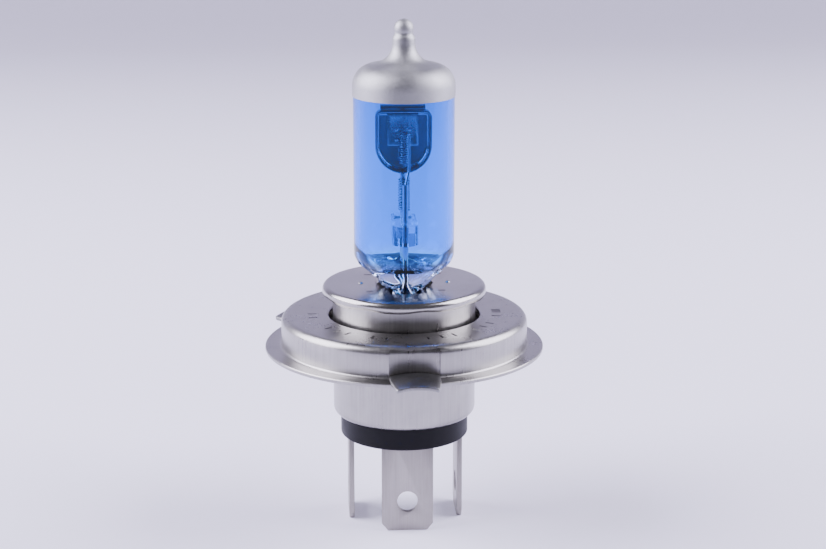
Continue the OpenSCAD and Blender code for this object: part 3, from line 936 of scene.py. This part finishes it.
@dataclass
class SeatRing:
    """The flanged ring that seats the bulb: flange, collar, top, three lugs, front recess and stamped ticks."""

    collar_r: float = 19.0
    flange_r: float = 21.5
    sheet: float = 0.6
    edge_r: float = 1.2
    foot_r: float = 0.4
    hole_r: float = 11.7
    lug_w: float = 6.4
    lug_rise: float = 0.45
    lug_z: float = -0.15
    lug_reach: float = 24.7
    # Faces outside the collar above this height get the lugs' painted shade.
    lug_dip: float = 0.03
    lug_angle: float = 135.0
    ring_turn: float = 1.5
    recess_w: float = 7.5
    recess_y: float = 18.25
    chamfer: float = 0.12
    hole_chamfer: float = 0.15
    root_in: float = 0.4
    root_out: float = 2.4
    tip_run: float = 0.5
    lug_shade_z: float = 0.02
    wall_rows: tuple[float, ...] = (1.1, 1.9, 2.7)
    top_row: float = 16.6
    tick_slope: float = 0.03
    tick_rim: float = 0.14
    tick_depth: float = 0.15
    tick_every: int = 3
    tick_row: Point2 = (13.4, 15.1)
    tick_groups: tuple[Point2, ...] = ((176, 192), (204, 232), (240, 262), (272, 300), (310, 334), (342, 368))

    def section(self, top: float) -> list[Point2]:
        """The sheet's section.

        Args:
            top: Height of the collar's top face.

        Returns:
            Radius and height of each point, closed.
        """
        rim, cut = self.flange_r, self.chamfer
        points = [(rim - cut, -self.sheet), (rim, -self.sheet + cut), (rim, -cut), (rim - cut, 0)]
        points += arc(self.collar_r + self.foot_r, self.foot_r, self.foot_r, 270, 180, 6)
        points += [(self.collar_r, z) for z in self.wall_rows]
        edge = self.collar_r - self.edge_r
        points += arc(edge, top - self.edge_r, self.edge_r, 0, 90, 10)
        points += [(r, top) for r in (self.top_row, self.tick_row[1], self.tick_row[0])]
        points += [(self.hole_r + self.hole_chamfer, top), (self.hole_r, top - self.hole_chamfer),
                   (self.hole_r, top - self.sheet + 0.1), (self.hole_r + 0.1, top - self.sheet)]
        points += arc(edge, top - self.edge_r, self.edge_r - self.sheet, 90, 0, 8)
        points += arc(self.collar_r + self.foot_r, self.foot_r, self.foot_r + self.sheet, 180, 270, 6)
        return points + points[:1]

    def build_lug(self) -> Piece:
        """One arched lug that points to the front."""
        wide = self.lug_w / 2 + 0.5
        bow_r = wide * wide / (2 * self.lug_rise) + self.lug_rise / 2
        swing = math.degrees(math.asin(wide / bow_r))
        bow = arc(0, self.lug_z + self.lug_rise - bow_r, bow_r, 90 - swing, 90 + swing, 12)
        root = self.collar_r - self.root_in
        lug = draw_chain("lug", [Vector((x, -root, z)) * MM for x, z in bow])
        bends = (root + self.root_out, self.lug_reach - self.tip_run, self.lug_reach)
        narrowing = (1.0, (self.lug_w + 0.1) / (2 * wide), 0.93)
        here = root
        for bend, share in zip(bends, narrowing):
            run = here - bend
            pull(Vector((0, run, run * self.lug_dip)) * MM)
            bpy.ops.transform.resize(value=(share, 1, 1), center_override=(0, 0, 0))
            here = bend
        select_everything()
        pull(Vector((0, 0, self.sheet)) * MM)
        tidy_shell()
        soften_edges(lug, 0.12, 3, 50)
        return lug

    def press_recess(self, ring: Piece, top: float) -> None:
        """Flattens the collar's wall above the front lug.

        Args:
            ring: The turned ring.
            top: Height of the collar's top face.
        """
        take(ring)
        step = math.tau / LATHE_STEPS
        last = int(math.asin(self.recess_w / 2 / self.collar_r) / step)
        for vertex in ring.data.vertices:
            at = vertex.co / MM
            reach = math.hypot(at.x, at.y)
            column = round(math.atan2(at.x, -at.y) / step)
            low_enough = 0.3 < at.z < top - 0.4 * self.edge_r
            if reach < self.collar_r - self.edge_r or not low_enough:
                continue
            if abs(column) == last + 1:
                turn = math.copysign((last + 0.08) * step, column)
                vertex.co.x, vertex.co.y = reach * math.sin(turn) * MM, -reach * math.cos(turn) * MM
            elif abs(column) <= last:
                vertex.co.y = -(self.recess_y - (self.collar_r - reach)) * MM

    def stamp_ticks(self, ring: Piece, top: float) -> None:
        """Stamps a row of plain ticks in the top.

        Args:
            ring: The turned ring.
            top: Height of the collar's top face.
        """
        take(ring)
        enter("EDIT")
        step = 360 / LATHE_STEPS

        def is_tick(at: Vector, normal: Vector) -> bool:
            """True for a face of the row that is to be stamped."""
            turn = math.degrees(math.atan2(at.y, at.x)) % 360
            row = self.tick_row[0] < at.xy.length < self.tick_row[1] and normal.z > 0.9 and at.z > top - 0.1
            in_group = any(start < turn < end or start < turn + 360 < end for start, end in self.tick_groups)
            return row and in_group and int(turn / step) % self.tick_every == 0

        pick_faces(ring, is_tick)
        bpy.ops.mesh.inset(thickness=self.tick_rim * MM, use_individual=True)
        bpy.ops.mesh.inset(thickness=self.tick_slope * MM, use_individual=True)
        bpy.ops.transform.translate(value=(0, 0, -self.tick_depth * MM))
        enter("OBJECT")

    def build(self) -> None:
        """Builds the ring and dresses it."""
        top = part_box("focus_ring")[1].z / MM
        ring = turn_on_lathe("seat_ring", self.section(top))
        self.press_recess(ring, top)
        self.stamp_ticks(ring, top)
        front = self.build_lug()
        lugs = [turned_copy(front, "lug_left", -self.lug_angle), turned_copy(front, "lug_right", self.lug_angle)]
        weld_on(ring, front, *lugs)
        ring.rotation_euler.z = math.radians(self.ring_turn)
        settle()
        smooth(ring, 30)
        deliver(ring, RING_STEEL, "plated_steel", "focus_ring")
        self.shade_details(ring, top)

    def shade_details(self, ring: Piece, top: float) -> None:
        """Paints shade: the ticks' floors get a near-black finish, and the lugs and the flange's outer edge a
        darker copy of the ring's steel, standing for shade and dark reflections.

        Args:
            ring: The finished ring.
            top: Height of the collar's top face.
        """
        ring.data.materials.append(TICK_FLOOR_SHADE.material())
        ring.data.materials.append(SHADED_LUG_STEEL.material())
        for face in ring.data.polygons:
            at = face.center / MM
            reach = at.xy.length
            # Painted shade in the ticks' floors.
            if face.normal.z > 0.9 and -0.2 < at.z - top < -0.1 and reach < self.tick_row[1]:
                face.material_index = 1
            # Painted shade and dark reflection on the lugs and the flange's outer edge.
            elif reach > self.collar_r + self.foot_r and (at.z > self.lug_shade_z or reach > self.flange_r):
                face.material_index = 2


@dataclass
class Holder:
    """The sleeve, and the crimped disc on top of it that holds the seal's clamp."""

    sleeve_r: float = 11.0
    sheet: float = 0.45
    disc_r: float = 12.6
    edge_r: float = 0.8
    window: Point2 = (3.15, 6.85)
    tab_window: Point2 = (4.05, 2.8)
    slit: Point2 = (1.2, 0.36)
    slit_at: Point2 = (5.4, 4.9)
    pip_x: float = 6.7
    pip_r: float = 0.55
    crimps: int = 9
    crimp_depth: float = 0.28
    crimp_band: float = 0.32
    skirt_in: float = 0.5
    pip_rise: float = 0.2
    bend_r: float = 0.5
    lip: float = 0.35

    def build_disc(self) -> Piece:
        """Turns the disc, cuts its openings and crimps its skirt."""
        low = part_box("holder_disc")[0].z / MM
        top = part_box("holder_sleeve")[1].z / MM + self.sheet
        section = [(0, top), (4.5, top), (8, top)]
        section += arc(self.disc_r - self.edge_r, top - self.edge_r, self.edge_r, 90, 0, 8)
        section += [(self.disc_r, low + 0.3), (self.disc_r - 0.12, low), (self.sleeve_r + self.skirt_in + 0.1, low),
                    (self.sleeve_r + self.skirt_in, low + 0.4), (self.disc_r - self.sheet, low + self.sheet)]
        section += arc(self.disc_r - self.edge_r, top - self.edge_r, self.edge_r - self.sheet, 0, 90, 4)
        section += [(0, top - self.sheet)]
        disc = turn_on_lathe("crimped_disc", section)
        for vertex in disc.data.vertices:
            at = vertex.co / MM
            if at.z < low + self.crimp_band and at.xy.length > self.disc_r - self.edge_r:
                turn = math.atan2(at.y, at.x)
                vertex.co.z += self.crimp_depth * MM * (0.5 + 0.5 * math.cos(self.crimps * turn)) ** 2
        slit_half = (self.slit[0] / 2, self.slit[1] / 2)
        openings = [((0, 0), self.window), ((0, 0), self.tab_window)]
        openings += [((x, y), slit_half) for x in (-self.slit_at[0], self.slit_at[0])
                     for y in (-self.slit_at[1], self.slit_at[1])]
        punch(disc, [box_punch(Vector((x - wide, y - long, top - 2)), Vector((x + wide, y + long, top + 1)))
                     for (x, y), (wide, long) in openings])
        for x in (-self.pip_x, self.pip_x):
            clear_selection()
            place = Vector((x, 0, top - self.pip_r + self.pip_rise)) * MM
            bpy.ops.mesh.primitive_uv_sphere_add(segments=24, ring_count=12, location=place,
                                                 radius=self.pip_r * MM)
            settle()
            weld_on(disc, bpy.context.object)
        return disc

    def build(self) -> None:
        """Builds the disc and the sleeve, and dresses the clamp."""
        disc = self.build_disc()
        smooth(disc, 30)
        deliver(disc, DISC_STEEL, "plated_steel", "holder_disc")
        low, high = (corner.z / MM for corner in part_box("holder_sleeve"))
        inner = self.sleeve_r - self.sheet
        edge = self.disc_r - self.sheet - 0.03
        section = [(inner, low), (self.sleeve_r, low), (self.sleeve_r, high - 1.1)]
        section += arc(self.sleeve_r + self.bend_r, high - self.sheet - self.bend_r, self.bend_r, 180, 90, 5)
        section += [(edge, high - self.sheet), (edge, high - self.lip), (edge - self.lip, high),
                    (inner, high), (inner, low)]
        sleeve = turn_on_lathe("sleeve", section)
        smooth(sleeve, 30)
        deliver(sleeve, TUBE_STEEL, "plated_steel", "holder_sleeve")
        dress("pinch_clamp", DISC_STEEL)
        dress("carrier_ring", TUBE_STEEL)


@dataclass
class BaseShell:
    """The lower can, rolled in at the bottom over the insulator."""

    shell_r: float = 11.0
    sheet: float = 0.45
    insulator_r: float = 9.9
    chamfer: float = 0.1
    step_out: float = 0.3
    step_in: float = 0.18

    def build(self) -> None:
        """Turns the can."""
        low, high = (corner.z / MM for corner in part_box("base_shell"))
        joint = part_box("holder_sleeve")[0].z / MM - SLIDE_GAP
        spigot = self.shell_r - self.sheet - SLIDE_GAP
        curl = self.shell_r - self.insulator_r - SLIDE_GAP
        inner = self.shell_r - self.sheet
        section = [(spigot - self.sheet, high), (spigot, high), (spigot, joint),
                   (self.shell_r - self.chamfer, joint), (self.shell_r, joint - self.chamfer)]
        section += arc(self.shell_r - curl, low + curl, curl, 0, -90, 12)
        section += arc(self.shell_r - curl, low + curl, curl - self.sheet, -90, 0, 8)
        section += [(inner, joint - self.sheet - self.step_out), (spigot - self.sheet, joint - self.step_in)]
        shell = turn_on_lathe("base_can", section + section[:1])
        smooth(shell, 30)
        deliver(shell, TUBE_STEEL, "plated_steel", "base_shell")


@dataclass
class Blade:
    """One flat blade, with cut corners, a round hole and coined edges."""

    name: str
    node: str
    turn: float
    width: float = 7.9
    thick: float = 0.8
    corner: float = 1.1
    hole_r: float = 1.6
    hole_up: float = 4.7
    centre_y: float = 8.4
    tang_w: float = 4.0
    socket: float = 1.5
    corner_share: float = 0.8

    def build(self) -> None:
        """Cuts the blade and turns it to its place."""
        low, high = (corner.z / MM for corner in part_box(self.node))
        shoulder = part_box("insulator_disc")[0].z / MM + self.socket - SLIDE_GAP
        half, tang = self.width / 2, self.tang_w / 2
        side = half - self.corner * self.corner_share
        outline = [(-side, low), (side, low), (half, low + self.corner), (half, shoulder), (tang, shoulder),
                   (tang, high), (-tang, high), (-tang, shoulder), (-half, shoulder), (-half, low + self.corner)]
        blade = cut_plate(self.name, outline, -self.centre_y - self.thick / 2, self.thick)
        clear_selection()
        place = Vector((0, -self.centre_y, low + self.hole_up)) * MM
        bpy.ops.mesh.primitive_cylinder_add(vertices=64, radius=self.hole_r * MM, depth=4 * MM, location=place,
                                            rotation=(math.pi / 2, 0, 0))
        tool = bpy.context.object
        settle()
        punch(blade, [tool])
        soften_edges(blade, 0.14, 2, 40)
        take(blade)
        blade.rotation_euler.z = math.radians(self.turn)
        settle()
        smooth(blade, 30)
        deliver(blade, BLADE_METAL, "blade_metal", self.node)


class KeptParts:
    """The plain inner parts whose CAD shape stays."""

    WIRES: tuple[str, ...] = (
        "shield_bar", "low_beam_lead", "high_beam_lead", "common_lead", "seal_foil_low", "seal_foil_high",
        "seal_foil_common", "outer_lead_low", "outer_lead_high", "outer_lead_common")

    def build(self) -> None:
        """Dresses each of them."""
        dress("quartz_bridge", CLEAR_QUARTZ)
        dress("insulator_disc", INSULATOR)
        for node in self.WIRES:
            dress(node, MOLYBDENUM)


# ----- studio


@dataclass
class Studio:
    """Camera, floor and soft light."""

    distance: float = 300.0
    height: float = 90.5
    aside: float = 1.37
    azimuth: float = -3.5
    pitch: float = 14.87
    lens: float = 87.9
    light: Colour = (0.86, 0.83, 1.0)
    air: float = 0.16
    sensor: float = 36
    floor_half: float = 1200
    floor_front: float = -900
    floor_back: float = 500
    floor_rise: float = 900
    sweep_r: float = 250
    box_height: float = 0.38
    box_side: float = 0.7

    def place_camera(self) -> None:
        """Sets the camera in front of the bulb, a little above it."""
        turn, tilt = math.radians(self.azimuth), math.radians(self.pitch)
        back = Vector((math.sin(turn), -math.cos(turn), 0))
        right = Vector((math.cos(turn), math.sin(turn), 0))
        look = -back * math.cos(tilt) - Vector((0, 0, math.sin(tilt)))
        up = right.cross(look)
        clear_selection()
        bpy.ops.object.camera_add()
        camera = bpy.context.object
        camera.data.lens = self.lens
        camera.data.sensor_width = self.sensor
        camera.data.clip_start = 0.01
        place = Matrix((right, up, -look)).transposed().to_4x4()
        place.translation = (back * self.distance + right * self.aside + Vector((0, 0, self.height))) * MM
        camera.matrix_world = place
        bpy.context.scene.camera = camera

    def lay_floor(self) -> None:
        """A pale floor that sweeps up behind the bulb."""
        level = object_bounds()[0][2] / MM
        back, high = self.floor_back, level + self.sweep_r
        sweep = [(self.floor_front, level), (back, level)] + arc(back, high, self.sweep_r, -80, 0)
        sweep += [(back + self.sweep_r, level + self.floor_rise)]
        floor = draw_chain("floor", [Vector((-self.floor_half, y, z)) * MM for y, z in sweep])
        pull(Vector((2 * self.floor_half, 0, 0)) * MM)
        tidy_shell()
        if floor.data.polygons[0].normal.z < 0:
            floor.data.flip_normals()
        smooth(floor, 60)
        floor.data.materials.append(PAPER.material())
        floor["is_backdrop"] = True

    def hang_light(self, name: str, place: Point2, power: float) -> None:
        """Hangs one soft box that faces the bulb.

        Args:
            name: Its name.
            place: X and Y in metres.
            power: Watts.
        """
        clear_selection()
        where = Vector((*place, self.box_height))
        bpy.ops.object.light_add(type="AREA", location=where)
        lamp = bpy.context.object
        lamp.name = name
        lamp.data.shape = "RECTANGLE"
        lamp.data.size = lamp.data.size_y = self.box_side
        lamp.data.energy = power
        lamp.data.color = self.light
        lamp.rotation_euler = (Vector((0, 0, 0.01)) - where).to_track_quat("-Z", "Y").to_euler()

    def build(self) -> None:
        """Sets up the camera, the floor and the lights."""
        self.place_camera()
        self.lay_floor()
        world = bpy.data.worlds.new("studio_air")
        world.use_nodes = True
        air = world.node_tree.nodes["Background"].inputs
        air["Color"].default_value = (*self.light, 1)
        air["Strength"].default_value = self.air
        bpy.context.scene.world = world
        self.hang_light("left_box", (-0.6, 0.05), 19)
        self.hang_light("right_box", (0.62, 0.05), 16)


def main() -> None:
    """Builds the bulb from the glass down, then the studio."""
    logging.basicConfig(level=logging.INFO, format="%(message)s")
    parts = [
        QuartzBulb(),
        Coil("upper_coil", "low_beam_filament", 1.3, 0.22, 13, -0.3, tail_at_top=False),
        Coil("lower_coil", "high_beam_filament", 1.8, 0.26, 12, 0.0, tail_at_top=True),
        BeamShield(),
        SeatRing(),
        Holder(),
        BaseShell(),
        Blade("front_blade", "low_beam_blade", 0.0),
        Blade("right_blade", "high_beam_blade", 90.0),
        Blade("left_blade", "common_blade", -90.0),
        KeptParts(),
    ]
    for part in parts:
        log.info("building %s", type(part).__name__)
        part.build()
    Studio().build()


if __name__ == "__main__":
    main()
